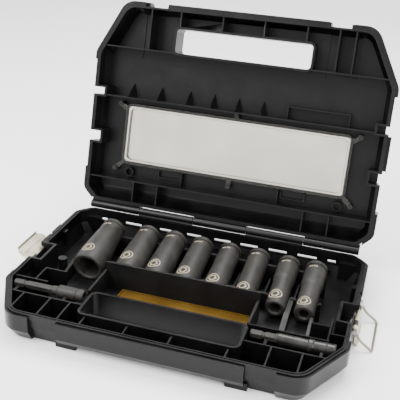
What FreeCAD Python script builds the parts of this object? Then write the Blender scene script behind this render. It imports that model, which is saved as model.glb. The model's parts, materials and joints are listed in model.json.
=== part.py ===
import FreeCAD, Part
import math
import os

# Socket wrench set in a hinged moulded case: eight deep impact sockets and two
# hex-shank adapters. Millimetres, +X to the right across the case, +Y to the
# back (hinge side), +Z up. The case stands open on its feet: the lid leans back.
# Everything is modelled in a case frame whose table plane is z = 0, then all
# pieces are moved together so that the origin is the middle of the bottom of
# the open object's bounding box.

V = FreeCAD.Vector

# ---------------------------------------------------------------- dimensions
HALF_W = 146.2          # half width of the case at the rim
Y_FRONT = -97.5         # front face of the base at the rim
Y_LID_FRONT = -100.5    # front face of the lid: a small finger lip
Y_REAR = 99.0           # rear face of base and lid
CHAMFER_X = 26.0        # front corner chamfer, along X
CHAMFER_Y = 47.0        # front corner chamfer, along Y
REAR_CUT = 12.0         # rear corner chamfer
RIM_Z = 29.0            # base rim above the table
LID_GAP = 0.3           # parting gap
LID_TOP = 53.3          # outer face of the closed lid
BASE_Z = 3.0            # underside of the base corners
HANDLE_Z = 7.5          # underside of the base between the front feet
FOOT_Z = 2.2            # underside of the feet: the surface the case stands on
FLOOR_Z = 5.4           # inside floor of the base
BUMPER = 2.2            # corner bumper stand-off
HINGE_Y, HINGE_Z = 103.5, 31.4
OPEN_ANGLE = 105.6
KNUCKLE_R = 4.0
KNUCKLE_FACE_Y = 98.4                # lid wall that faces the base's knuckles
PIN_R = 1.6
KNUCKLES = (27.3, 84.2, 137.3)      # knuckle boundaries along X, both sides
HOLE_X, HOLE_Y0, HOLE_Y1 = 66.0, -79.0, -48.5   # finger hole of the handle
BIN_X0, BIN_X1, BIN_Y0, BIN_Y1 = -72.0, 65.0, -46.0, -6.0
WIN_X, WIN_V0, WIN_V1 = 112.4, 46.9, 103.6      # lid window opening
LATCH_Y = 10.7          # middle of each latch
LATCH_PIN_X, LATCH_PIN_Z = 148.2, 19.5
LATCH_PIN_R = 1.2
LEVER_LEN = 17.0
LEVER_OPEN = 120.0      # left lever, angle from hanging
BAIL_A, BAIL_B, BAIL_BEND = 10.6, 12.6, 17.0
WIRE_R = 1.1
BAIL_REST = 45.2        # angle from hanging at which the wire touches the table
TILT = 10.0             # socket axis tilt, drive end up
SOCKET_LEN = 63.5
DRIVE_SQ = 9.6          # 3/8 inch square drive
ADAPTER_Y, ADAPTER_Z = -51.5, 25.0
HEX_SHANK = 6.35        # across flats

# name, x, y of the hex end, z of the hex end, hex across flats, hex-end
# diameter, drive-end diameter
SOCKETS = [
    ("socket_a", -94.2, -1.6, 20.9, 19.1, 29.4, 22.8),
    ("socket_b", -58.0, 0.0, 20.4, 17.5, 26.4, 22.2),
    ("socket_c", -31.2, 0.0, 20.0, 15.9, 24.6, 21.6),
    ("socket_d", -4.0, 0.0, 19.7, 14.3, 22.8, 20.6),
    ("socket_e", 23.2, 0.0, 19.4, 12.7, 21.0, 19.8),
    ("socket_f", 50.8, 0.0, 19.2, 11.2, 19.8, 19.6),
    ("socket_g", 79.5, -2.0, 18.7, 9.6, 17.8, 19.6),
    ("socket_h", 104.5, -2.0, 18.7, 8.0, 17.6, 19.6),
]


# ------------------------------------------------------------------- helpers
def box(x0, y0, z0, x1, y1, z1):
    return Part.makeBox(x1 - x0, y1 - y0, z1 - z0, V(x0, y0, z0))


def cyl(x, y, z, d, r, h):
    return Part.makeCylinder(r, h, V(x, y, z), V(*d))


def fuse(shapes):
    shapes = list(shapes)
    out = shapes[0]
    if len(shapes) > 1:
        out = out.multiFuse(shapes[1:])
    return out.removeSplitter()


def cut(a, *tools):
    tools = list(tools)
    t = tools[0] if len(tools) == 1 else tools[0].multiFuse(tools[1:])
    return a.cut(t)


def offset_polygon(pts, d):
    """Move every edge of a counter-clockwise polygon inwards by d."""
    n = len(pts)
    lines = []
    for i in range(n):
        (x0, y0), (x1, y1) = pts[i], pts[(i + 1) % n]
        L = math.hypot(x1 - x0, y1 - y0)
        ux, uy = (x1 - x0) / L, (y1 - y0) / L
        lines.append((x0 - uy * d, y0 + ux * d, ux, uy))
    out = []
    for i in range(n):
        x0, y0, ux, uy = lines[i - 1]
        x1, y1, vx, vy = lines[i]
        den = ux * vy - uy * vx
        t = ((x1 - x0) * vy - (y1 - y0) * vx) / den
        out.append((x0 + ux * t, y0 + uy * t))
    return out


def round_wire(pts, radii, z):
    """Closed wire of straight edges and corner arcs at height z."""
    n = len(pts)
    a, b, m = [], [], []
    for i in range(n):
        p, q, s = pts[i - 1], pts[i], pts[(i + 1) % n]
        l1 = math.hypot(p[0] - q[0], p[1] - q[1])
        l2 = math.hypot(s[0] - q[0], s[1] - q[1])
        u = ((p[0] - q[0]) / l1, (p[1] - q[1]) / l1)
        w = ((s[0] - q[0]) / l2, (s[1] - q[1]) / l2)
        half = math.acos(max(-1, min(1, u[0] * w[0] + u[1] * w[1]))) / 2
        t = radii[i] / math.tan(half)
        a.append(V(q[0] + u[0] * t, q[1] + u[1] * t, z))
        b.append(V(q[0] + w[0] * t, q[1] + w[1] * t, z))
        bx, by = u[0] + w[0], u[1] + w[1]
        bl = math.hypot(bx, by)
        k = radii[i] / math.sin(half) - radii[i]
        m.append(V(q[0] + bx / bl * k, q[1] + by / bl * k, z))
    edges = []
    for i in range(n):
        edges.append(Part.Arc(a[i], m[i], b[i]).toShape())
        edges.append(Part.makeLine(b[i], a[(i + 1) % n]))
    return Part.Wire(edges)


def outline(d, front=Y_FRONT):
    w, r = HALF_W, Y_REAR
    pts = [(-w + CHAMFER_X, front), (w - CHAMFER_X, front),
           (w, Y_FRONT + CHAMFER_Y), (w, r - REAR_CUT), (w - REAR_CUT, r),
           (-w + REAR_CUT, r), (-w, r - REAR_CUT), (-w, Y_FRONT + CHAMFER_Y)]
    return offset_polygon(pts, d)


RADII = [16, 16, 14, 9, 9, 9, 9, 14]


def plan(d, z, front=Y_FRONT):
    radii = [max(1.5, r - max(d, 0) * 0.8) for r in RADII]
    return round_wire(outline(d, front), radii, z)


def slab(d, z0, z1, front=Y_FRONT):
    f = Part.Face(plan(d, z0, front))
    return f.extrude(V(0, 0, z1 - z0))


def taper(d0, z0, d1, z1, front=Y_FRONT):
    return Part.makeLoft([plan(d0, z0, front), plan(d1, z1, front)], True, True)


def poly_prism(points, vec):
    """Prism from a closed list of 3-D points swept along vec."""
    pts = [V(*p) for p in points]
    f = Part.Face(Part.makePolygon(pts + [pts[0]]))
    return f.extrude(V(*vec))


def rounded_rect(x0, y0, x1, y1, r, z0, z1):
    w = round_wire([(x0, y0), (x1, y0), (x1, y1), (x0, y1)], [r] * 4, z0)
    return Part.Face(w).extrude(V(0, 0, z1 - z0))


def hexagon(af, z0, z1):
    pts = []
    for i in range(6):
        t = math.radians(60 * i)
        pts.append((af / math.sqrt(3) * math.cos(t), af / math.sqrt(3) * math.sin(t), z0))
    return poly_prism(pts, (0, 0, z1 - z0))


# ---------------------------------------------------------------------- base
def base_shell():
    outer = fuse([taper(6.5, BASE_Z, 2.4, 16.5), slab(1.6, 16.4, 24.5), slab(0, 24.4, RIM_Z)])
    # corner bumpers follow the outline, proud of it
    skin = fuse([taper(4.0, BASE_Z, -BUMPER, 13.0), slab(-BUMPER, 12.9, 27.6)])
    corners = [box(101, -110, 0, 160, -38, 40), box(-160, -110, 0, -101, -38, 40),
               box(138.6, 55, 0, 160, 110, 40), box(-160, 55, 0, -138.6, 110, 40),
               box(-77, -110, 0, 77, -88, 40)]
    bump = skin.common(fuse(corners))
    outer = fuse([outer, bump])
    # raised underside between the front feet
    outer = cut(outer, box(-80, -110, 0, 80, -46.3, HANDLE_Z))
    # rim guards beside each latch
    guards = []
    for s in (-1, 1):
        for y0, y1 in ((13.6, 31.4), (35.2, 52.0)):
            x0, x1 = sorted((s * 144.0, s * 148.6))
            guards.append(box(x0, y0, 24.6, x1, y1, RIM_Z))
    outer = fuse([outer] + guards)
    # inside
    cavity = fuse([taper(9.2, FLOOR_Z, 4.7, 16.5), slab(3.7, 16.4, RIM_Z + 1)])
    cavity = cut(cavity, box(-82, -110, 0, 82, -44.1, HANDLE_Z + 2.2))
    walls = []
    rim_rib = RIM_Z - 1.5
    # handle collar, open right through
    walls.append(rounded_rect(-HOLE_X - 2.2, HOLE_Y0 - 2.2, HOLE_X + 2.2, HOLE_Y1 + 2.2, 6.5, 3, RIM_Z))
    for x in (-59.3, -22.6, 14.5, 60.0):
        walls.append(box(x - 0.7, -96, 5, x + 0.7, HOLE_Y0, rim_rib))
    # long cross rib and the cells in front of it
    for x0, x1 in ((-144, -HOLE_X), (HOLE_X, 144)):
        walls.append(box(x0, -67.2, 4, x1, -65.8, rim_rib))
    for x in (-121.4, -97.0, -79.0, 90.5, 115.0):
        walls.append(box(x - 0.7, -96, 4, x + 0.7, -66, rim_rib))
    # second cross rib, behind the adapters
    walls.append(box(-144, -45.0, 4, -111.3, -43.6, rim_rib))
    walls.append(box(HOLE_X, -44.4, 4, 131.6, -43.0, rim_rib))
    walls.append(box(-124.7, -45.0, 4, -123.3, -22.2, rim_rib - 1))
    walls.append(box(-124.7, -23.6, 4, -104.6, -22.2, rim_rib - 1))
    walls.append(box(129.3, -44.4, 4, 130.7, -10, rim_rib - 1))
    walls.append(box(114, -23.0, 4, 130, -21.6, rim_rib - 1))
    walls.append(box(130, -32.7, 4, 144, -31.3, rim_rib - 1))
    # adapter cradles
    for x in (-133.0, -88.0, 84.0, 128.0):
        walls.append(box(x - 1.2, -67, 4, x + 1.2, -43.6, ADAPTER_Z))
    # latch pockets
    for s in (-1, 1):
        x0, x1 = sorted((s * 132.6, s * 146.2))
        walls.append(box(x0, -16.4, 4, x1, 15.2, RIM_Z))
    # blocks at the rear corners and pegs on the rear wall
    for s in (-1, 1):
        x0, x1 = sorted((s * 121.5, s * 143.0))
        walls.append(box(x0, 89.5, 4, x1, 97, 22.5))
        x0, x1 = sorted((s * 138.5, s * 144.0))
        walls.append(box(x0, 44.0, 4, x1, 50.0, 26.0))
    walls.append(cyl(-118.6, -2.0, 4, (0, 0, 1), 4.0, 22.5))
    for x in (-56.0, -27.4, 0.7, 28.4, 56.6, 85.0, 113.2):
        walls.append(box(x - 1.2, 90.5, 4, x + 1.2, 97, 12.5))
    inner = fuse(walls).common(fuse([taper(6.5, BASE_Z, 2.4, 16.5), slab(1.6, 16.4, RIM_Z)]))
    inner = cut(inner, box(-80, -110, 0, 80, -46.3, HANDLE_Z))
    shell = fuse([outer.cut(cavity), inner])
    # finger hole, latch pockets
    tools = [rounded_rect(-HOLE_X, HOLE_Y0, HOLE_X, HOLE_Y1, 4.5, -1, RIM_Z + 2)]
    for s in (-1, 1):
        x0, x1 = sorted((s * 135.0, s * 155.0))
        tools.append(box(x0, -14.2, 6.0, x1, 13.0, RIM_Z + 2))
    # light slots in the rear wall
    for x0, x1 in ((-123.2, -116.8), (-97, -79.3), (-60, -47.5), (-31, -16), (-2.5, 14),
                   (24, 41.5), (52.5, 70.4), (81, 99.5), (110, 117.7)):
        tools.append(box(x0, 94, 18.2, x1, 102, 21.2))
    # adapter saddles
    for x in (-133.0, 84.0):
        tools.append(cyl(x - 3, ADAPTER_Y, ADAPTER_Z, (1, 0, 0), 4.5, 6))
    tools.append(cyl(-92, ADAPTER_Y, ADAPTER_Z, (1, 0, 0), 6.1, 8))
    tools.append(cyl(124, ADAPTER_Y, ADAPTER_Z, (1, 0, 0), 5.6, 8))
    # gasket groove in the top of the rim
    groove = Part.Face(plan(1.5, RIM_Z - 0.9)).extrude(V(0, 0, 2)).cut(
        Part.Face(plan(2.5, RIM_Z - 0.9)).extrude(V(0, 0, 2)))
    groove = groove.cut(fuse([box(-160, -18, 0, -120, 17.5, 40), box(120, -18, 0, 160, 17.5, 40)]))
    shell = cut(shell, *tools).cut(groove)
    # hinge knuckles with their webs
    for s in (-1, 1):
        a, b = sorted((s * (KNUCKLES[0] + 0.3), s * (KNUCKLES[1] - 0.3)))
        k = fuse([cyl(a, HINGE_Y, HINGE_Z, (1, 0, 0), KNUCKLE_R, b - a),
                  poly_prism([(a, 98.2, 22.0), (a, 103.2, 27.4), (a, 104.5, 29.6), (a, 101.5, 31.0),
                              (a, 98.2, RIM_Z)], (b - a, 0, 0))])
        shell = fuse([shell, k])
    shell = shell.cut(cyl(-150, HINGE_Y, HINGE_Z, (1, 0, 0), PIN_R + 0.02, 300))
    # feet
    feet = []
    for s in (-1, 1):
        x0, x1 = sorted((s * 62.0, s * 79.5))
        feet.append(box(x0, -94.5, FOOT_Z, x1, -84.0, HANDLE_Z + 1.5))
        x0, x1 = sorted((s * 118.0, s * 134.0))
        feet.append(box(x0, 70, FOOT_Z, x1, 84, BASE_Z + 1.5))
    return fuse([shell] + feet)


def socket_axis(x, y, z):
    t = math.radians(TILT)
    return FreeCAD.Placement(V(x, y, z), FreeCAD.Rotation(V(1, 0, 0), -90 + TILT))


def socket_profile(d_hex, d_drive):
    """Half outline (radius, distance from the hex end)."""
    rh, rd = d_hex / 2, d_drive / 2
    if d_hex > d_drive + 0.4:
        return [(rh - 1.0, 0), (rh, 1.0), (rh, 17.0), (rd + 0.25 * (rh - rd), 44.0), (rd, 50.0),
                (rd, 62.3), (rd - 1.2, SOCKET_LEN)]
    if d_drive > d_hex + 0.4:
        return [(rh - 0.8, 0), (rh, 0.8), (rh, 33.0), (rd, 36.5), (rd, 62.3), (rd - 1.2, SOCKET_LEN)]
    return [(rh - 0.8, 0), (rh, 0.8), (rd, 62.3), (rd - 1.2, SOCKET_LEN)]


def revolve(profile):
    pts = [V(0, 0, profile[0][1])] + [V(r, 0, z) for r, z in profile] + [V(0, 0, profile[-1][1])]
    f = Part.Face(Part.makePolygon(pts + [pts[0]]))
    return f.revolve(V(0, 0, 0), V(0, 0, 1), 360)


def socket(name, x, y, z, af, d_hex, d_drive):
    body = revolve(socket_profile(d_hex, d_drive))
    rb = af / math.sqrt(3)
    hexd = 24.0
    bores = [hexagon(af, -1, hexd)]
    # lead-in cone, clearance bore, square drive and its pin hole and groove
    bores.append(Part.makeCone(rb + 0.9, rb - 0.6, 1.5, V(0, 0, -0.01), V(0, 0, 1)))
    bores.append(Part.makeCylinder(min(af / 2 - 0.3, 7.5), SOCKET_LEN - hexd - 12, V(0, 0, hexd - 1), V(0, 0, 1)))
    h = DRIVE_SQ / 2
    bores.append(box(-h, -h, SOCKET_LEN - 13.5, h, h, SOCKET_LEN + 1))
    bores.append(Part.makeCone(h + 0.2, h + 1.6, 1.4, V(0, 0, SOCKET_LEN - 1.39), V(0, 0, 1)))
    bores.append(Part.makeCylinder(1.5, 40, V(-20, 0, SOCKET_LEN - 6.0), V(1, 0, 0)))
    body = cut(body, *bores)
    ring = revolve([(d_drive / 2 - 0.7, SOCKET_LEN - 7.2), (d_drive / 2 + 2, SOCKET_LEN - 7.2),
                    (d_drive / 2 + 2, SOCKET_LEN - 4.8), (d_drive / 2 - 0.7, SOCKET_LEN - 4.8)])
    inner = Part.makeCylinder(d_drive / 2 - 0.7, 4, V(0, 0, SOCKET_LEN - 8), V(0, 0, 1))
    body = body.cut(ring.cut(inner))
    body.Placement = socket_axis(x, y, z)
    return body


# ---------------------------------------------------------------------- rack
def socket_clearance():
    """Room around every socket, open upwards."""
    tools = []
    for name, x, y, z, af, dh, dd in SOCKETS:
        prof = [(r + 0.45, zz) for r, zz in socket_profile(dh, dd)]
        prof = [(prof[0][0] + 1.0, -2.0)] + prof[1:-1] + [(prof[-2][0], SOCKET_LEN + 2)]
        body = revolve(prof)
        body.Placement = socket_axis(x, y, z)
        tools.append(body)
        for yy, zz in ((14.0, z + (14.0 - y) * math.tan(math.radians(TILT))),
                       (52.0, z + (52.0 - y) * math.tan(math.radians(TILT)))):
            half = max(dh, dd) / 2 + 0.5
            tools.append(box(x - half, yy - 3, zz, x + half, yy + 3, 45))
    return tools


BIN_FRONT = -43.9       # front end of the bin walls, behind the raised floor


def socket_rack():
    z0 = FLOOR_Z + 0.1
    yb = BIN_Y1 + 2.0
    parts = [box(-113, yb, z0, 113.2, 74, 7.0),
             box(BIN_X1 + 2.0, BIN_FRONT + 2.0, z0, 113.2, yb, 7.0),
             box(-113, -21.5, z0, BIN_X0 - 2.0, yb, 7.0)]
    # two cradle walls across the sockets
    parts.append(box(-112, 12.5, z0, 116.4, 15.5, 22.4))
    parts.append(box(-110, 50.5, z0, 115, 53.5, 28.5))
    # low walls between neighbouring sockets
    mids = [(SOCKETS[i][1] + SOCKETS[i + 1][1]) / 2 for i in range(7)]
    for x in mids:
        parts.append(box(x - 0.8, 13, z0, x + 0.8, 53, 17.0))
    # ramps beside the two small sockets and the large one
    parts.append(poly_prism([(88.4, -38, z0), (88.4, 14, z0), (88.4, 14, 21.5), (88.4, -8, 19.5), (88.4, -38, 11.0)], (4.6, 0, 0)))
    parts.append(poly_prism([(110.6, -38, z0), (110.6, 14, z0), (110.6, 14, 21.5), (110.6, -8, 18.5), (110.6, -38, 9.0)], (2.6, 0, 0)))
    parts.append(poly_prism([(-113, -21.5, z0), (-113, 14, z0), (-113, 14, 21.5), (-113, -8, 19.0), (-113, -21.5, 14.0)], (2.6, 0, 0)))
    return cut(fuse(parts), *socket_clearance())


def bin_walls():
    """Floor, two ends and tall back of the parts bin; its front is the handle wall of the base."""
    z0 = FLOOR_Z + 0.1
    parts = [box(BIN_X0 - 2, BIN_FRONT, z0, BIN_X1 - 2, BIN_Y1 + 2, 7.0),
             box(BIN_X1 - 2, BIN_FRONT + 2.0, z0, BIN_X1 + 2, BIN_Y1 + 2, 7.0),
             box(BIN_X0 - 2, BIN_FRONT, z0, BIN_X0, BIN_Y1 + 2, 27.0),
             box(BIN_X1, BIN_FRONT + 2.0, z0, BIN_X1 + 2, BIN_Y1 + 2, 27.0),
             box(BIN_X0 - 2, BIN_Y1, z0, BIN_X1 + 2, BIN_Y1 + 2, 34.0)]
    return cut(fuse(parts), *socket_clearance())


def bin_liner():
    z0 = 7.15
    base = rounded_rect(-58.0, -43.4, 62.4, -6.5, 2.0, z0, z0 + 1.2)
    lip = rounded_rect(-58.0, -43.4, 62.4, -6.5, 2.0, z0, z0 + 2.4).cut(
        rounded_rect(-57.0, -42.4, 61.4, -7.5, 1.4, z0 - 1, z0 + 4))
    return fuse([base, lip])


# ----------------------------------------------------------------------- lid
def v2y(v):
    return HINGE_Y - v


def gusset(x, y0, y1, z_crest, z_floor, half):
    """Half pyramid against a cross rib: broad on the floor, narrow at the crest."""
    a, b, c = V(x - half, y0, z_floor), V(x + half, y0, z_floor), V(x, y1, z_floor)
    d, e = V(x - 0.5, y0, z_crest), V(x + 0.5, y0, z_crest)
    faces = [[a, b, c], [a, b, e, d], [a, c, d], [b, c, e], [c, d, e]]
    return Part.Solid(Part.Shell([Part.Face(Part.makePolygon(f + [f[0]])) for f in faces]))


def lid_shell():
    z0 = RIM_Z + LID_GAP
    F = Y_LID_FRONT
    outer = fuse([slab(0, z0, 34.0, F), slab(1.6, 33.9, 43.0, F), taper(1.6, 42.9, 6.5, LID_TOP, F)])
    skin = fuse([slab(-BUMPER, z0 + 1.2, 44.0, F), taper(-BUMPER, 43.9, 4.5, LID_TOP, F)])
    corners = [box(98, -110, 0, 160, -43, 60), box(-160, -110, 0, -98, -43, 60),
               box(138.6, 66, 0, 160, 110, 60), box(-160, 66, 0, -138.6, 110, 60),
               box(-79, -110, 0, 79, -90, 60)]
    outer = fuse([outer, skin.common(fuse(corners))])
    cavity = fuse([slab(3.7, z0 - 1, 42.0, F), taper(3.7, 41.9, 8.4, 51.1, F)])
    zf = 52.0
    ribs = []
    rim = z0 + 1.0
    # cross ribs
    ribs.append(box(-144, v2y(30.0), rim, 144, v2y(28.6), zf))
    ribs.append(box(-144, v2y(113.1), rim, 144, v2y(111.7), zf))
    for x0, x1 in ((-144, -67), (67, 144)):
        ribs.append(box(x0, v2y(161.9), rim, x1, v2y(160.5), zf))
    # handle collar and the cells beyond it
    ribs.append(rounded_rect(-68.4, v2y(186.6), 68.4, v2y(159.1), 5.5, rim - 0.6, zf))
    for x in (-64.0, -22.0, 18.6, 59.0):
        ribs.append(box(x - 0.7, v2y(203), rim, x + 0.7, v2y(185.6), zf))
    for x in (-93.8, 88.8, 103.8):
        ribs.append(box(x - 0.7, v2y(203), rim, x + 0.7, v2y(161), zf))
    # window collar
    ribs.append(rounded_rect(-WIN_X - 2, v2y(WIN_V1 + 2), WIN_X + 2, v2y(WIN_V0 - 2), 4.0, 44.6, zf))
    # gussets on the upper cross rib
    for x in (-111.5, -81.2, -51.2, -26.0, -1.0, 24.2):
        ribs.append(gusset(x, v2y(112.4), v2y(127.3), rim + 3, zf, 4.6))
    # raised panels around the handle and in the two front corners
    for x0, v0, x1, v1 in ((-80.0, 149.6, 79.0, 202.0), (-144.0, 151.0, -105.5, 202.0), (108.0, 154.0, 144.0, 202.0)):
        ribs.append(rounded_rect(x0, v2y(v1), x1, v2y(v0), 5.0, 50.2, zf))
    # slot pocket on the right of that rib
    ribs.append(box(48.8, v2y(125.2), 41.0, 109.2, v2y(112), zf).cut(
        box(50.0, v2y(124.0), 40.0, 108.0, v2y(113), 54)))
    # dividers in the channel beside the hinge, and its curved back
    for x in (-95.5, -70.0, 79.0, 104.0):
        ribs.append(box(x - 0.7, v2y(29), rim + 3, x + 0.7, v2y(6), zf))
    R = 17.0
    yb, zt = 96.6, 52.0
    arc = Part.Arc(V(-138, yb, zt - R), V(-138, yb - R * (1 - math.cos(math.radians(45))), zt - R * (1 - math.sin(math.radians(45)))),
                   V(-138, yb - R, zt)).toShape()
    w = Part.Wire([arc, Part.makeLine(V(-138, yb - R, zt), V(-138, yb, zt)),
                   Part.makeLine(V(-138, yb, zt), V(-138, yb, zt - R))])
    ribs.append(Part.Face(w).extrude(V(276, 0, 0)))
    # small ribs and a slot pocket under the window
    for x in (-49.0, 50.4):
        ribs.append(box(x - 0.6, v2y(43.6), 43.0, x + 0.6, v2y(29.5), zf))
    for x0, x1 in ((-75.0, -51.0), (52.6, 77.0)):
        ribs.append(rounded_rect(x0, v2y(43.4), x1, v2y(34.8), 2.0, 47.0, zf).cut(
            rounded_rect(x0 + 1.1, v2y(42.3), x1 - 1.1, v2y(35.9), 1.2, 46, 54)))
    # two round bosses at the window's lower corners
    for x in (-106.0, 109.0):
        ribs.append(cyl(x, v2y(36.2), 45.0, (0, 0, 1), 4.6, zf - 45.0).cut(cyl(x, v2y(36.2), 44.0, (0, 0, 1), 3.4, 8.0)))
    # walls behind the bail notches
    for s in (-1, 1):
        for y0, y1 in ((-15.8, -8.6), (28.0, 38.4)):
            x0, x1 = sorted((s * 133.0, s * 146.2))
            ribs.append(box(x0, y0 - 2.0, z0, x1, y1 + 2.0, zf))
    # pockets around the base's hinge knuckles
    for s in (-1, 1):
        a, b = sorted((s * (KNUCKLES[0] - 2.6), s * (KNUCKLES[1] + 2.6)))
        ribs.append(box(a, 96.0, z0, b, KNUCKLE_FACE_Y + 0.5, 38.8))
    inner = fuse(ribs).common(fuse([slab(1.6, z0, 42.0, F), taper(1.6, 41.9, 6.5, LID_TOP, F)]))
    shell = fuse([outer.cut(cavity), inner])
    # hooks on the latch tabs
    for s in (-1, 1):
        x0, x1 = sorted((s * 143.6, s * 149.0))
        shell = fuse([shell, box(x0, -6.4, 36.0, x1, 25.8, 40.5)])
    tools = [rounded_rect(-66.2, v2y(184.4), 66.2, v2y(161.3), 3.5, 20, 60),
             rounded_rect(-WIN_X, v2y(WIN_V1), WIN_X, v2y(WIN_V0), 2.5, 40, 60)]
    for s in (-1, 1):
        for y0, y1 in ((-15.8, -8.6), (28.0, 38.4)):
            x0, x1 = sorted((s * 135.2, s * 155.0))
            tools.append(box(x0, y0, 20, x1, y1, 47.0))
        x0, x1 = sorted((s * 78.0, s * 101.0))
        tools.append(box(x0, -106, 20, x1, -98.6, 34.5))
        a, b = sorted((s * (KNUCKLES[0] - 0.3), s * (KNUCKLES[1] + 0.3)))
        tools.append(box(a, KNUCKLE_FACE_Y, 20, b, 110, 36.6))
    shell = cut(shell, *tools)
    # hinge knuckles with their webs
    spans = [(-KNUCKLES[2], -KNUCKLES[1] - 0.3), (-KNUCKLES[0] + 0.3, KNUCKLES[0] - 0.3),
             (KNUCKLES[1] + 0.3, KNUCKLES[2])]
    for a, b in spans:
        k = fuse([cyl(a, HINGE_Y, HINGE_Z, (1, 0, 0), KNUCKLE_R, b - a),
                  poly_prism([(a, 97.6, 31.6), (a, 101.5, 31.6), (a, 104.5, 34.9), (a, 97.6, 41.0)], (b - a, 0, 0))])
        shell = fuse([shell, k])
    return shell.cut(cyl(-150, HINGE_Y, HINGE_Z, (1, 0, 0), PIN_R + 0.05, 300))


# outer end of each leg of the window, and the point on the window it runs from
TABS = [((-121.3, 105.0), (-108.0, 95.5)), ((121.3, 105.0), (108.0, 95.5)),
        ((-121.3, 38.6), (-108.0, 51.5)), ((121.3, 38.6), (108.0, 51.5)),
        ((0.0, 108.4), (0.0, 100.0)), ((0.0, 38.4), (0.0, 50.0))]
TAB_R = 2.6


def lid_window():
    z_flange = 43.2
    x, y0, y1 = WIN_X, v2y(WIN_V1), v2y(WIN_V0)
    flange = rounded_rect(-x - 2.6, y0 - 2.6, x + 2.6, y1 + 2.6, 7.0, z_flange, z_flange + 1.2)
    hollow = rounded_rect(-x + 2.2, y0 + 2.2, x - 2.2, y1 - 2.2, 5.0, 40, 60)
    tray = rounded_rect(-x + 0.4, y0 + 0.4, x - 0.4, y1 - 0.4, 3.0, z_flange + 1.1, 52.6)
    tray = tray.cut(rounded_rect(-x + 1.9, y0 + 1.9, x - 1.9, y1 - 1.9, 5.0, 40, 51.1))
    tabs, holes = [], []
    for (tx, tv), (ax, av) in TABS:
        ty, ay = v2y(tv), v2y(av)
        tabs.append(Part.makeCylinder(TAB_R, 1.2, V(tx, ty, z_flange), V(0, 0, 1)))
        n = math.hypot(tx - ax, ty - ay)
        ox, oy = -(ty - ay) / n * 2.1, (tx - ax) / n * 2.1
        tabs.append(poly_prism([(ax + ox, ay + oy, z_flange), (tx + ox, ty + oy, z_flange),
                                (tx - ox, ty - oy, z_flange), (ax - ox, ay - oy, z_flange)], (0, 0, 1.2)))
        holes.append(Part.makeCylinder(1.35, 3, V(tx, ty, z_flange - 1), V(0, 0, 1)))
    rim = fuse([flange] + tabs).cut(hollow)
    return fuse([rim, tray]).cut(fuse(holes))


def window_screws():
    """Six pan-head screws, one solid each, and the bosses are in the lid."""
    out = []
    for (tx, tv), _ in TABS:
        ty = v2y(tv)
        head = Part.makeSphere(3.0, V(tx, ty, 43.2), V(0, 0, 1), -90, 90, 360)
        head = head.common(Part.makeCylinder(2.3, 1.7, V(tx, ty, 41.5), V(0, 0, 1)))
        s = fuse([head, Part.makeCylinder(1.2, 6.5, V(tx, ty, 43.1), V(0, 0, 1))])
        s = s.cut(box(tx - 1.5, ty - 0.3, 40, tx + 1.5, ty + 0.3, 42.0)).cut(
            box(tx - 0.3, ty - 1.5, 40, tx + 0.3, ty + 1.5, 42.0))
        out.append(s)
    return Part.makeCompound(out)


def lid_with_bosses():
    lid = lid_shell()
    bosses = []
    for (tx, tv), _ in TABS:
        bosses.append(Part.makeCylinder(2.6, 52.0 - 44.5, V(tx, v2y(tv), 44.5), V(0, 0, 1)))
    lid = fuse([lid] + bosses)
    x, y0, y1 = WIN_X, v2y(WIN_V1), v2y(WIN_V0)
    holes = [Part.makeCylinder(1.25, 6, V(tx, v2y(tv), 44.0), V(0, 0, 1)) for (tx, tv), _ in TABS]
    return cut(lid, rounded_rect(-x, y0, x, y1, 2.5, 40, 60), *holes)


# ------------------------------------------------------------------- latches
# Right-hand latch, then mirrored. The lever and the wire bail share one pin.
def latch_bracket():
    x = 144.7
    plate = rounded_box_yz(x, -17.0, 11.5, 39.0, 23.5, 0.9)
    ks = []
    for y0, y1 in ((-4.8, 2.0), (19.4, 26.2)):
        ks.append(cyl(LATCH_PIN_X, y0, LATCH_PIN_Z, (0, 1, 0), 2.15, y1 - y0))
        ks.append(box(x, y0, LATCH_PIN_Z - 2.15, LATCH_PIN_X, y1, LATCH_PIN_Z - 1.1))
    b = fuse([plate] + ks)
    b = b.cut(cyl(LATCH_PIN_X, -30, LATCH_PIN_Z, (0, 1, 0), LATCH_PIN_R + 0.02, 80))
    for y in (16.2, 29.3):
        b = b.cut(cyl(140, y, 14.2, (1, 0, 0), 1.3, 10))
    return b


def rounded_box_yz(x, y0, z0, y1, z1, t):
    r = 2.0
    f = box(x, y0, z0, x + t, y1, z1)
    edges = [e for e in f.Edges if abs(e.Vertexes[0].X - e.Vertexes[1].X) > t * 0.9]
    return f.makeFillet(r, edges)


def latch_rivets():
    out = []
    for y in (16.2, 29.3):
        head = Part.makeCone(2.3, 1.5, 0.9, V(145.6, y, 14.2), V(1, 0, 0))
        out.append(fuse([head, cyl(142.9, y, 14.2, (1, 0, 0), 1.3, 2.75)]))
    return Part.makeCompound(out)


def latch_pin():
    p = cyl(LATCH_PIN_X, -14.4, LATCH_PIN_Z, (0, 1, 0), LATCH_PIN_R, 50.2)
    h1 = cyl(LATCH_PIN_X, -14.4, LATCH_PIN_Z, (0, 1, 0), 2.0, 1.1)
    h2 = cyl(LATCH_PIN_X, 34.7, LATCH_PIN_Z, (0, 1, 0), 2.0, 1.1)
    return fuse([p, h1, h2])


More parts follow.
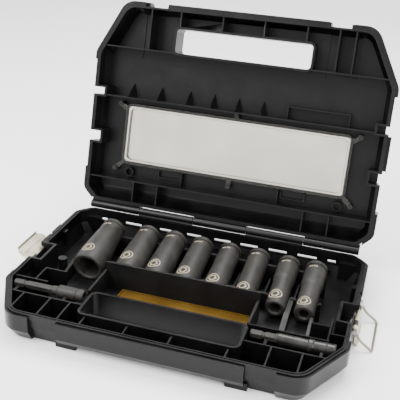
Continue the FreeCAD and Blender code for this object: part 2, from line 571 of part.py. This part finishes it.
def latch_lever():
    """Lever hanging straight down from its pin."""
    x, z = LATCH_PIN_X, LATCH_PIN_Z
    ks = [cyl(x, a, z, (0, 1, 0), 2.15, b - a) for a, b in ((-10.2, -5.2), (2.4, 19.0), (26.6, 31.6))]
    for a, b in ((-10.2, -5.2), (2.4, 19.0), (26.6, 31.6)):
        ks.append(box(x + 0.95, a, z - 3.4, x + 2.15, b, z))
    y0, y1 = -10.2, 31.6
    zb = z - LEVER_LEN
    plate = poly_prism([(x + 0.95, y0, z - 2.6), (x + 0.95, y1, z - 2.6), (x + 0.95, y1, zb + 6.0),
                        (x + 0.95, y1 - 5.0, zb + 1.6), (x + 0.95, y0 + 3.0, zb + 1.6),
                        (x + 0.95, y0, zb + 4.0)], (1.2, 0, 0))
    lip = fuse([poly_prism([(x + 0.95, y0 + 3.0, zb + 1.7), (x + 2.15, y0 + 3.0, zb + 1.7),
                            (x + 4.0, y0 + 3.0, zb), (x + 2.6, y0 + 3.0, zb)], (0, y1 - y0 - 8.0, 0))])
    bead = box(x + 2.0, y0 + 6, zb + 6.5, x + 2.75, y1 - 7, zb + 8.3)
    lever = fuse(ks + [plate, lip, bead])
    for a, b in ((-20, -10.2), (-5.2, 2.4), (19.0, 26.6), (31.6, 45)):
        lever = lever.cut(cyl(x, a, z, (0, 1, 0), 2.5, b - a))
    return lever.cut(cyl(x, -30, z, (0, 1, 0), LATCH_PIN_R + 0.05, 80))


def wire_pipe(route, r, bend):
    """Round wire along straight runs joined by tangent arcs of radius bend."""
    edges = []
    last = route[0]
    for i in range(1, len(route) - 1):
        a, q, c = route[i - 1], route[i], route[i + 1]
        u = (a - q).normalize()
        w = (c - q).normalize()
        half = u.getAngle(w) / 2
        t = bend / math.tan(half)
        pa, pc = q + u * t, q + w * t
        mid = q + (u + w).normalize() * (bend / math.sin(half) - bend)
        edges.append(Part.makeLine(last, pa))
        edges.append(Part.Arc(pa, mid, pc).toShape())
        last = pc
    edges.append(Part.makeLine(last, route[-1]))
    path = Part.Wire(edges)
    ring = Part.Wire([Part.makeCircle(r, route[0], route[1] - route[0])])
    return path.makePipeShell([ring], True, False)


def latch_bail():
    """Wire bail hanging straight down from the pin, crossbar along Y."""
    ya, yb = -11.8, 33.2
    ang = math.radians(BAIL_BEND)
    off = math.atan2(BAIL_B * math.sin(ang), BAIL_A + BAIL_B * math.cos(ang))
    # the first run leans inwards so that the crossbar hangs plumb
    d0 = (-math.sin(off), -math.cos(off))
    d1 = (math.sin(ang - off), -math.cos(ang - off))
    x, z = LATCH_PIN_X, LATCH_PIN_Z
    p1 = (x + BAIL_A * d0[0], z + BAIL_A * d0[1])
    p2 = (p1[0] + BAIL_B * d1[0], p1[1] + BAIL_B * d1[1])
    parts = []
    e0 = (x + 1.6 * d0[0], z + 1.6 * d0[1])
    route = [V(e0[0], ya, e0[1]), V(p1[0], ya, p1[1]), V(p2[0], ya, p2[1]),
             V(p2[0], yb, p2[1]), V(p1[0], yb, p1[1]), V(e0[0], yb, e0[1])]
    parts.append(wire_pipe(route, WIRE_R, 2.6))
    for y in (ya, yb):
        parts.append(Part.makeCylinder(2.2, 2.2, V(x, y - 1.1, z), V(0, 1, 0)))
    bail = parts[0].multiFuse(parts[1:])
    return bail.cut(cyl(x, -30, z, (0, 1, 0), LATCH_PIN_R + 0.05, 80))


def swing(shape, angle):
    """Swing outwards and up about the latch pin, from hanging."""
    s = shape.copy()
    s.rotate(V(LATCH_PIN_X, 0, LATCH_PIN_Z), V(0, -1, 0), angle)
    return s


def mirrored(shape):
    return shape.mirror(V(0, 0, 0), V(1, 0, 0))


# ------------------------------------------------------------------ adapters
def revolve_x(profile, x, y, z):
    s = revolve(profile)
    s.Placement = FreeCAD.Placement(V(x, y, z), FreeCAD.Rotation(V(0, 1, 0), 90))
    return s


def adapter(x0, runs, sleeve, ring):
    """Shank of stated runs, a sleeve over it and a snap ring. x0 is the shank tip."""
    y, z = ADAPTER_Y, ADAPTER_Z
    L = runs["length"]
    hexa = hexagon(HEX_SHANK, 0, runs["hex"])
    tip = revolve([(2.4, 0), (4.2, 1.8), (4.2, 9.0), (2.7, 10.2), (2.7, 11.8), (4.2, 13.0), (4.2, runs["hex"])])
    body = hexa.common(tip)
    core = revolve([(3.4, runs["hex"] - 0.01), (3.9, runs["hex"] + 0.6), (3.9, L - 7), (3.9, L)])
    body = fuse([body, core])
    body = body.cut(hexagon(6.4, L - 9.0, L + 1))
    body.Placement = FreeCAD.Placement(V(x0, y, z), FreeCAD.Rotation(V(0, 1, 0), 90))
    slv = revolve(sleeve).cut(Part.makeCylinder(3.95, 60, V(0, 0, sleeve[0][1] - 1), V(0, 0, 1)))
    slv = slv.cut(revolve([(ring[0] - 0.55, ring[1]), (ring[0] + 3, ring[1]), (ring[0] + 3, ring[1] + 1.2),
                           (ring[0] - 0.55, ring[1] + 1.2)]).cut(
        Part.makeCylinder(ring[0] - 0.55, 3, V(0, 0, ring[1] - 1), V(0, 0, 1))))
    slv.Placement = FreeCAD.Placement(V(x0, y, z), FreeCAD.Rotation(V(0, 1, 0), 90))
    rng = Part.makeTorus(ring[0] - 0.05, 0.5, V(0, 0, ring[1] + 0.6), V(0, 0, 1))
    rng.Placement = FreeCAD.Placement(V(x0, y, z), FreeCAD.Rotation(V(0, 1, 0), 90))
    return body, slv, rng


# --------------------------------------------------------------------- build
def build():
    nodes = {}
    nodes["base_shell"] = base_shell()
    nodes["socket_rack"] = socket_rack()
    nodes["bin_walls"] = bin_walls()
    nodes["bin_liner"] = bin_liner()
    nodes["hinge_pin"] = cyl(-137.0, HINGE_Y, HINGE_Z, (1, 0, 0), PIN_R, 274.0)
    lid = {"lid_shell": lid_with_bosses(), "lid_window": lid_window(), "window_screws": window_screws()}
    for k, s in lid.items():
        s = s.copy()
        s.rotate(V(0, HINGE_Y, HINGE_Z), V(1, 0, 0), -OPEN_ANGLE)
        nodes[k] = s
    for row in SOCKETS:
        nodes[row[0]] = socket(*row)
    b, s, r = adapter(-138.9, {"length": 65.0, "hex": 36.0},
                      [(4.6, 41.0), (5.6, 42.5), (5.6, 63.5), (4.9, 65.0)], (5.6, 58.0))
    nodes["adapter_left_shank"], nodes["adapter_left_sleeve"], nodes["adapter_left_ring"] = b, s, r
    b, s, r = adapter(70.0, {"length": 68.0, "hex": 20.0},
                      [(4.3, 22.0), (4.7, 22.8), (4.7, 46.0), (5.4, 47.0), (5.4, 50.0), (4.9, 51.2),
                       (5.1, 67.0), (4.6, 68.0)], (5.0, 60.0))
    nodes["adapter_right_shank"], nodes["adapter_right_sleeve"], nodes["adapter_right_ring"] = b, s, r
    lever, bail = latch_lever(), latch_bail()
    right = {"bracket": latch_bracket(), "rivets": latch_rivets(), "pin": latch_pin(),
             "lever": lever, "bail": swing(bail, BAIL_REST)}
    left = dict(right)
    left["lever"] = swing(lever, LEVER_OPEN)
    for k, s in right.items():
        nodes["latch_right_" + k] = s
    for k, s in left.items():
        nodes["latch_left_" + k] = mirrored(s)
    # the rivet shanks pass through the bracket into the base wall
    holes = []
    for s in (-1, 1):
        for y in (16.2, 29.3):
            x0 = 142.7 if s > 0 else -146.0
            holes.append(cyl(x0, y, 14.2, (1, 0, 0), 1.32, 3.3))
    nodes["base_shell"] = cut(nodes["base_shell"], *holes)
    return nodes


NODES = build()
lo = V(1e9, 1e9, 1e9)
hi = V(-1e9, -1e9, -1e9)
for s in NODES.values():
    bb = s.optimalBoundingBox(False)
    lo = V(min(lo.x, bb.XMin), min(lo.y, bb.YMin), min(lo.z, bb.ZMin))
    hi = V(max(hi.x, bb.XMax), max(hi.y, bb.YMax), max(hi.z, bb.ZMax))
SHIFT = V(-(lo.x + hi.x) / 2, -(lo.y + hi.y) / 2, -lo.z)
print("bounds before shift", lo, hi)
print("shift", SHIFT)
os.makedirs("parts", exist_ok=True)
for name, s in NODES.items():
    s = s.copy()
    s.translate(SHIFT)
    ok = s.isValid() and all(x.isValid() and x.Volume > 0 for x in s.Solids)
    print(f"{name:22s} solids {len(s.Solids)} volume {sum(x.Volume for x in s.Solids):10.1f} {'ok' if ok else 'NOT VALID'}")
    if len(s.Solids) == 1:
        s = s.Solids[0]
    s.exportStep(os.path.join("parts", name + ".step"))
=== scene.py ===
import bpy, bmesh, json, math
from mathutils import Vector, Matrix
from mathutils.bvhtree import BVHTree


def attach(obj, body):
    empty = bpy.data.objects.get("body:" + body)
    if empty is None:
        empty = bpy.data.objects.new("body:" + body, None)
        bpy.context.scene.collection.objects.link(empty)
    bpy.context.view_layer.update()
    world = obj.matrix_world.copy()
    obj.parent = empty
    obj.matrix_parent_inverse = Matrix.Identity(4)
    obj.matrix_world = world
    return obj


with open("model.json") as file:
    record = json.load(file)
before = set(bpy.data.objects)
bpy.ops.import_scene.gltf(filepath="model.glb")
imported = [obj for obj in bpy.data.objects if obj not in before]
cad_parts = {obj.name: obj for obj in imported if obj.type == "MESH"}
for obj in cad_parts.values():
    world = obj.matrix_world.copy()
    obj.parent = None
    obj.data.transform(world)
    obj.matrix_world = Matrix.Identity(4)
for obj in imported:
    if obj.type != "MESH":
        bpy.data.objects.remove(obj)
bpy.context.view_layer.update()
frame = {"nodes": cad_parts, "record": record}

N = frame["nodes"]
SY, SZ = -39.2713822, -2.2          # case frame (mm) to row frame

def C(x, y, z):
    return Vector((x, y + SY, z + SZ)) / 1000.0

# ------------------------------------------------------------------ materials
def new_mat(name):
    m = bpy.data.materials.new(name)
    m.use_nodes = True
    nt = m.node_tree
    nt.nodes.clear()
    out = nt.nodes.new("ShaderNodeOutputMaterial")
    b = nt.nodes.new("ShaderNodeBsdfPrincipled")
    nt.links.new(b.outputs[0], out.inputs[0])
    return m, nt, b

def surface(name, dark, light, rough=(0.35, 0.5), metallic=0.0, cloud=60.0, grain=1800.0,
            bump=0.12, dist=0.00005, spec=0.5, coat=0.0, edge=None, stretch=None, detail=5.0):
    """Two-tone cloudy colour, roughness that varies with it, fine bump, and lighter worn edges."""
    m, nt, b = new_mat(name)
    L = nt.links.new
    co = nt.nodes.new("ShaderNodeTexCoord")
    src = co.outputs["Object"]
    if stretch:
        mp = nt.nodes.new("ShaderNodeMapping")
        mp.inputs["Scale"].default_value = stretch
        L(src, mp.inputs["Vector"])
        gsrc = mp.outputs[0]
    else:
        gsrc = src
    n1 = nt.nodes.new("ShaderNodeTexNoise")
    n1.inputs["Scale"].default_value = cloud
    n1.inputs["Detail"].default_value = detail
    n1.inputs["Roughness"].default_value = 0.6
    L(src, n1.inputs["Vector"])
    n2 = nt.nodes.new("ShaderNodeTexNoise")
    n2.inputs["Scale"].default_value = grain
    n2.inputs["Detail"].default_value = 3.0
    L(gsrc, n2.inputs["Vector"])
    mixf = nt.nodes.new("ShaderNodeMath"); mixf.operation = "MULTIPLY_ADD"
    L(n2.outputs["Fac"], mixf.inputs[0]); mixf.inputs[1].default_value = 0.35
    sc = nt.nodes.new("ShaderNodeMath"); sc.operation = "MULTIPLY"
    L(n1.outputs["Fac"], sc.inputs[0]); sc.inputs[1].default_value = 0.65
    L(sc.outputs[0], mixf.inputs[2])
    ramp = nt.nodes.new("ShaderNodeValToRGB")
    ramp.color_ramp.elements[0].position = 0.36
    ramp.color_ramp.elements[1].position = 0.64
    ramp.color_ramp.elements[0].color = (*dark, 1)
    ramp.color_ramp.elements[1].color = (*light, 1)
    L(mixf.outputs[0], ramp.inputs[0])
    colour = ramp.outputs[0]
    if edge:
        g = nt.nodes.new("ShaderNodeNewGeometry")
        er = nt.nodes.new("ShaderNodeValToRGB")
        er.color_ramp.elements[0].position = 0.515
        er.color_ramp.elements[1].position = 0.60
        er.color_ramp.elements[0].color = (0, 0, 0, 1)
        er.color_ramp.elements[1].color = (1, 1, 1, 1)
        L(g.outputs["Pointiness"], er.inputs[0])
        mx = nt.nodes.new("ShaderNodeMixRGB")
        mx.inputs[2].default_value = (*edge, 1)
        k = nt.nodes.new("ShaderNodeMath"); k.operation = "MULTIPLY"
        L(er.outputs[0], k.inputs[0]); k.inputs[1].default_value = 0.55
        L(k.outputs[0], mx.inputs[0]); L(colour, mx.inputs[1])
        colour = mx.outputs[0]
    L(colour, b.inputs["Base Color"])
    rr = nt.nodes.new("ShaderNodeMapRange")
    rr.inputs["From Min"].default_value = 0.3; rr.inputs["From Max"].default_value = 0.7
    rr.inputs["To Min"].default_value = rough[0]; rr.inputs["To Max"].default_value = rough[1]
    L(n1.outputs["Fac"], rr.inputs["Value"])
    L(rr.outputs[0], b.inputs["Roughness"])
    b.inputs["Metallic"].default_value = metallic
    b.inputs["Specular IOR Level"].default_value = spec
    b.inputs["Coat Weight"].default_value = coat
    if bump:
        bp = nt.nodes.new("ShaderNodeBump")
        bp.inputs["Strength"].default_value = bump
        bp.inputs["Distance"].default_value = dist
        L(n2.outputs["Fac"], bp.inputs["Height"])
        L(bp.outputs[0], b.inputs["Normal"])
    return m, b

PLASTIC, _ = surface("case_plastic", (0.0016, 0.0016, 0.0018), (0.0042, 0.0041, 0.0042), (0.29, 0.40), 0.0,
                     45.0, 1000.0, 0.05, 0.00004, 0.23, 0.0, detail=3.0)
RACK, _ = surface("rack_plastic", (0.0018, 0.0018, 0.0019), (0.0040, 0.0039, 0.0038), (0.42, 0.60), 0.0,
                  70.0, 1100.0, 0.06, 0.00004, 0.26, 0.0)
AMBER, _ = surface("amber_plastic", (0.062, 0.031, 0.0022), (0.118, 0.063, 0.0055), (0.29, 0.42), 0.0,
                   35.0, 1500.0, 0.08, 0.00004, 0.5, 0.1)
PHOS, _ = surface("phosphate_steel", (0.013, 0.0122, 0.011), (0.030, 0.0280, 0.0250), (0.44, 0.60), 0.25,
                  90.0, 3200.0, 0.30, 0.00005, 0.36, 0.0)
BRIGHT, _ = surface("bright_steel", (0.016, 0.0155, 0.015), (0.040, 0.039, 0.037), (0.29, 0.40), 0.6,
                    80.0, 2500.0, 0.12, 0.00003, 0.5, 0.0, stretch=(1.0, 12.0, 12.0))
PIN, _ = surface("pin_steel", (0.30, 0.295, 0.285), (0.46, 0.45, 0.435), (0.29, 0.38), 1.0,
                 120.0, 2500.0, 0.12, 0.00003)
PLATE, _ = surface("latch_plate", (0.50, 0.455, 0.345), (0.68, 0.63, 0.51), (0.30, 0.44), 0.85,
                   70.0, 2200.0, 0.14, 0.00003, stretch=(1.0, 1.0, 8.0))
WIRE, _ = surface("bail_wire", (0.17, 0.155, 0.115), (0.30, 0.28, 0.22), (0.29, 0.38), 1.0,
                  110.0, 2500.0, 0.10, 0.00003, stretch=(1.0, 6.0, 6.0))
SCREW, _ = surface("screw_black", (0.018, 0.018, 0.018), (0.036, 0.035, 0.034), (0.29, 0.40), 0.7,
                   300.0, 2600.0, 0.10, 0.00002)
MARK, _ = surface("mark_paint", (0.20, 0.165, 0.110), (0.33, 0.28, 0.195), (0.50, 0.66), 0.0,
                  500.0, 3500.0, 0.25, 0.00003, 0.35)

def clear_material():
    m, nt, b = new_mat("clear_plastic")
    L = nt.links.new
    co = nt.nodes.new("ShaderNodeTexCoord")
    n = nt.nodes.new("ShaderNodeTexNoise")
    n.inputs["Scale"].default_value = 28.0
    n.inputs["Detail"].default_value = 4.0
    L(co.outputs["Object"], n.inputs["Vector"])
    r = nt.nodes.new("ShaderNodeValToRGB")
    r.color_ramp.elements[0].color = (0.35, 0.335, 0.285, 1)
    r.color_ramp.elements[1].color = (0.46, 0.445, 0.39, 1)
    L(n.outputs["Fac"], r.inputs[0]); L(r.outputs[0], b.inputs["Base Color"])
    rr = nt.nodes.new("ShaderNodeMapRange")
    rr.inputs["To Min"].default_value = 0.04; rr.inputs["To Max"].default_value = 0.12
    L(n.outputs["Fac"], rr.inputs["Value"]); L(rr.outputs[0], b.inputs["Roughness"])
    b.inputs["Transmission Weight"].default_value = 1.0
    b.inputs["IOR"].default_value = 1.46
    bp = nt.nodes.new("ShaderNodeBump")
    bp.inputs["Strength"].default_value = 0.05; bp.inputs["Distance"].default_value = 0.0001
    L(n.outputs["Fac"], bp.inputs["Height"]); L(bp.outputs[0], b.inputs["Normal"])
    return m

CLEAR = clear_material()
BY_SLOT = {"case_plastic": PLASTIC, "amber_plastic": AMBER, "clear_plastic": CLEAR, "pin_steel": PIN,
           "latch_plate": PLATE, "bail_wire": WIRE, "phosphate_steel": PHOS, "bright_steel": BRIGHT,
           "screw_black": SCREW}
slot_of = {s["node"]: s["material_slot"] for s in frame["record"]["subparts"]}
for name, ob in N.items():
    mat = RACK if name in ("socket_rack", "bin_walls") else BY_SLOT[slot_of[name]]
    if name == "window_screws": mat = SCREW
    if name in ("latch_left_bracket", "latch_right_bracket"): mat = SCREW
    if name in ("adapter_left_ring", "adapter_right_ring"): mat = BRIGHT
    if ob.data.materials:
        for i in range(len(ob.data.materials)):
            ob.data.materials[i] = mat
    else:
        ob.data.materials.append(mat)

# ------------------------------------------------------- soft edges on the CAD
def soften(ob, width, angle=35.0, seg=2):
    w = ob.modifiers.new("weld", "WELD"); w.merge_threshold = 2e-6
    b = ob.modifiers.new("edge", "BEVEL")
    b.width = width; b.segments = seg; b.limit_method = "ANGLE"; b.angle_limit = math.radians(angle)
    b.use_clamp_overlap = True; b.harden_normals = False; b.miter_outer = "MITER_ARC"
    n = ob.modifiers.new("normals", "WEIGHTED_NORMAL")
    n.mode = "FACE_AREA_WITH_ANGLE"; n.weight = 50; n.keep_sharp = False

for name, width in (("base_shell", .00035), ("socket_rack", .0003), ("bin_walls", .0003), ("lid_shell", .00035),
                    ("latch_left_lever", .00018), ("latch_right_lever", .00018),
                    ("latch_left_bracket", .00012), ("latch_right_bracket", .00012),
                    ("bin_liner", .0002)):
    if name in N:
        soften(N[name], width)

# -------------------------------------------------------------- surface marks
def tree(node):
    me = N[node].data
    return BVHTree.FromPolygons([v.co.copy() for v in me.vertices], [tuple(p.vertices) for p in me.polygons])

def strip(name, node, body, outer, inner, origin, u, v, n, mat, up=0.00007, down=0.00005, reach=0.02):
    """A closed raised band between two plane outlines, laid on a node's surface along n."""
    bvh = tree(node)
    u, v, n = u.normalized(), v.normalized(), n.normalized()
    cnt = len(outer)
    rows = []
    for loop in (outer, inner):
        top, bot = [], []
        for a, b in loop:
            p = origin + u * a + v * b
            hit, nrm, _i, _d = bvh.ray_cast(p + n * reach, -n, reach * 2)
            if hit is None:
                hit = p
            top.append(hit + n * up); bot.append(hit - n * down)
        rows.append((top, bot))
    verts, faces = [], []
    def put(l):
        i = len(verts); verts.extend(l); return i
    ot, obm, it, ib = put(rows[0][0]), put(rows[0][1]), put(rows[1][0]), put(rows[1][1])
    for k in range(cnt):
        j = (k + 1) % cnt
        faces += [(ot + k, ot + j, it + j, it + k), (obm + j, obm + k, ib + k, ib + j),
                  (obm + k, obm + j, ot + j, ot + k), (it + k, it + j, ib + j, ib + k)]
    me = bpy.data.meshes.new(name)
    me.from_pydata(verts, [], faces)
    me.update()
    bm = bmesh.new(); bm.from_mesh(me)
    bmesh.ops.recalc_face_normals(bm, faces=bm.faces)
    bm.to_mesh(me); bm.free()
    me.materials.append(mat)
    ob = bpy.data.objects.new(name, me)
    bpy.context.scene.collection.objects.link(ob)
    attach(ob, body)
    return ob

def circle(r, k=48, sq=1.0):
    return [(r * math.cos(2 * math.pi * i / k), sq * r * math.sin(2 * math.pi * i / k)) for i in range(k)]

def hexline(r, k=48, rot=0.0):
    out = []
    for i in range(k):
        a = 2 * math.pi * i / k + rot
        s = math.cos(math.pi / 6) / math.cos((2 * math.pi * i / k) % (math.pi / 3) - math.pi / 6)
        out.append((r * s * math.cos(a), r * s * math.sin(a)))
    return out

def bar(w, h, k=24):
    pts = []
    per = k // 4
    c = [(-w / 2, -h / 2), (w / 2, -h / 2), (w / 2, h / 2), (-w / 2, h / 2)]
    for i in range(4):
        (x0, y0), (x1, y1) = c[i], c[(i + 1) % 4]
        for t in range(per):
            f = t / per
            pts.append((x0 + (x1 - x0) * f, y0 + (y1 - y0) * f))
    return pts

TILT = math.radians(10.0)
AX = Vector((0, math.cos(TILT), math.sin(TILT)))
SOCKS = {"a": (-94.2, -1.6, 20.9, 12.6), "b": (-58.0, 0, 20.4, 13.0), "c": (-31.2, 0, 20.0, 10.9),
         "d": (-4.0, 0, 19.7, 11.0), "e": (23.2, 0, 19.4, 9.8), "f": (50.8, 0, 19.2, 8.0),
         "g": (79.5, -2.0, 18.7, 10.0), "h": (104.5, -2.0, 18.7, 8.6)}
for k, (x, y, z, s) in SOCKS.items():
    roll = math.radians(-14.0)
    nrm = Vector((math.sin(roll), 0, 0)) + Vector((0, -math.sin(TILT), math.cos(TILT))) * math.cos(roll)
    side = AX.cross(nrm)
    o = C(x, y, z) + AX * (s / 1000.0)
    node, body = "socket_" + k, "socket_" + k
    strip("mark_ring_" + k, node, body, circle(0.0060, 60, 0.92), circle(0.0051, 60, 0.92), o, side, AX, nrm, MARK)
    strip("mark_hex_" + k, node, body, hexline(0.0038), hexline(0.0026), o, side, AX, nrm, MARK)
    o2 = C(x, y, z) + AX * 0.0545
    for j, dx in enumerate((-0.0021, 0.0021)):
        strip(f"mark_band_{k}{j}", node, body, bar(0.0034, 0.0013), bar(0.0018, 0.0003),
              o2 + side * dx, side, AX, nrm, MARK)

# shallow ejector marks on the inside of the lid, laid on its skin
HY, HZ, OPEN = 103.5, 31.4, math.radians(-105.6)

def lid_point(x, v, z):
    dy, dz = -v, z - HZ
    return C(x, HY + dy * math.cos(OPEN) - dz * math.sin(OPEN), HZ + dy * math.sin(OPEN) + dz * math.cos(OPEN))

LN = Vector((0, math.sin(OPEN), -math.cos(OPEN)))      # out of the lid's inner face, towards the rim
LV = Vector((0, -math.cos(OPEN), -math.sin(OPEN)))     # from the hinge to the handle edge
for i, (x, v, rr, wd) in enumerate(((-62, 131, 4.6, 0.5), (-31, 141, 5.2, 0.6), (-4, 134, 3.2, 0.9), (10, 136, 3.2, 0.9),
                                    (-11, 126, 5.4, 0.7), (33, 140, 5.6, 0.5), (44, 131, 5.0, 0.5), (86, 139, 4.8, 0.5),
                                    (56, 146, 2.8, 0.7), (-88, 139, 4.2, 0.4))):
    strip(f"ejector_mark_{i}", "lid_shell", "lid", circle(rr / 1000), circle((rr - wd) / 1000),
          lid_point(x, v, 50.9), Vector((1, 0, 0)), LV, LN, PLASTIC, up=0.00018, down=0.0001, reach=0.004)

# --------------------------------------------------------------------- stage
fm, fnt, fb = new_mat("floor")
co = fnt.nodes.new("ShaderNodeTexCoord"); fn = fnt.nodes.new("ShaderNodeTexNoise")
fn.inputs["Scale"].default_value = 6.0
fr = fnt.nodes.new("ShaderNodeValToRGB")
fr.color_ramp.elements[0].color = (0.93, 0.93, 0.93, 1); fr.color_ramp.elements[1].color = (0.96, 0.96, 0.96, 1)
fnt.links.new(co.outputs["Object"], fn.inputs["Vector"]); fnt.links.new(fn.outputs["Fac"], fr.inputs[0])
fnt.links.new(fr.outputs[0], fb.inputs["Base Color"])
fb.inputs["Roughness"].default_value = 0.7
me = bpy.data.meshes.new("floor")
F, B, H = -3.0, 2.2, 3.2
prof = [(F, 0.0)] + [(B - 0.9 + 0.9 * math.sin(a), 0.9 - 0.9 * math.cos(a)) for a in [math.pi / 2 * i / 12 for i in range(13)]] + [(B, H)]
vs = [Vector((sx * 4.0, y, z)) for y, z in prof for sx in (-1, 1)]
me.from_pydata(vs, [], [(2 * i, 2 * i + 1, 2 * i + 3, 2 * i + 2) for i in range(len(prof) - 1)])
me.materials.append(fm)
for p in me.polygons: p.use_smooth = True
floor = bpy.data.objects.new("floor", me)
bpy.context.scene.collection.objects.link(floor)

world = bpy.data.worlds.new("world"); bpy.context.scene.world = world
world.use_nodes = True
bg = world.node_tree.nodes["Background"]
bg.inputs[0].default_value = (1.0, 1.0, 1.0, 1); bg.inputs[1].default_value = 1.75

def area(name, loc, target, size, power, col=(1, 1, 1)):
    d = bpy.data.lights.new(name, "AREA"); d.size = size; d.energy = power; d.color = col
    o = bpy.data.objects.new(name, d); bpy.context.scene.collection.objects.link(o)
    o.location = loc
    o.rotation_mode = "QUATERNION"
    o.rotation_quaternion = (Vector(target) - Vector(loc)).to_track_quat("-Z", "Y")
    return o

area("key", (-0.55, -0.55, 0.95), (0, 0.02, 0.05), 0.55, 16.0)
area("top", (0.05, 0.35, 1.10), (0, 0.0, 0.03), 0.7, 22.0)
area("fill", (0.9, -0.8, 0.6), (0, 0.05, 0.1), 0.9, 10.0)

# -------------------------------------------------------------------- camera
az, el, ro = (math.radians(v) for v in (16.194, 25.989, 2.757))
f = Vector((-math.sin(az) * math.cos(el), math.cos(az) * math.cos(el), -math.sin(el)))
r = Vector((math.cos(az), math.sin(az), 0))
u = r.cross(f)
R0 = r * math.cos(ro) + u * math.sin(ro)
R1 = -r * math.sin(ro) + u * math.cos(ro)
cd = bpy.data.cameras.new("camera")
cam = bpy.data.objects.new("camera", cd)
bpy.context.scene.collection.objects.link(cam)
loc = C(163.65, -537.51, 375.29)
cam.matrix_world = Matrix(((R0.x, R1.x, -f.x, loc.x), (R0.y, R1.y, -f.y, loc.y), (R0.z, R1.z, -f.z, loc.z), (0, 0, 0, 1)))
cd.lens = 751.868 / 400 * 36; cd.sensor_width = 36.0
cd.shift_x = 1.25 / 400; cd.shift_y = 5.272 / 400
bpy.context.scene.camera = cam
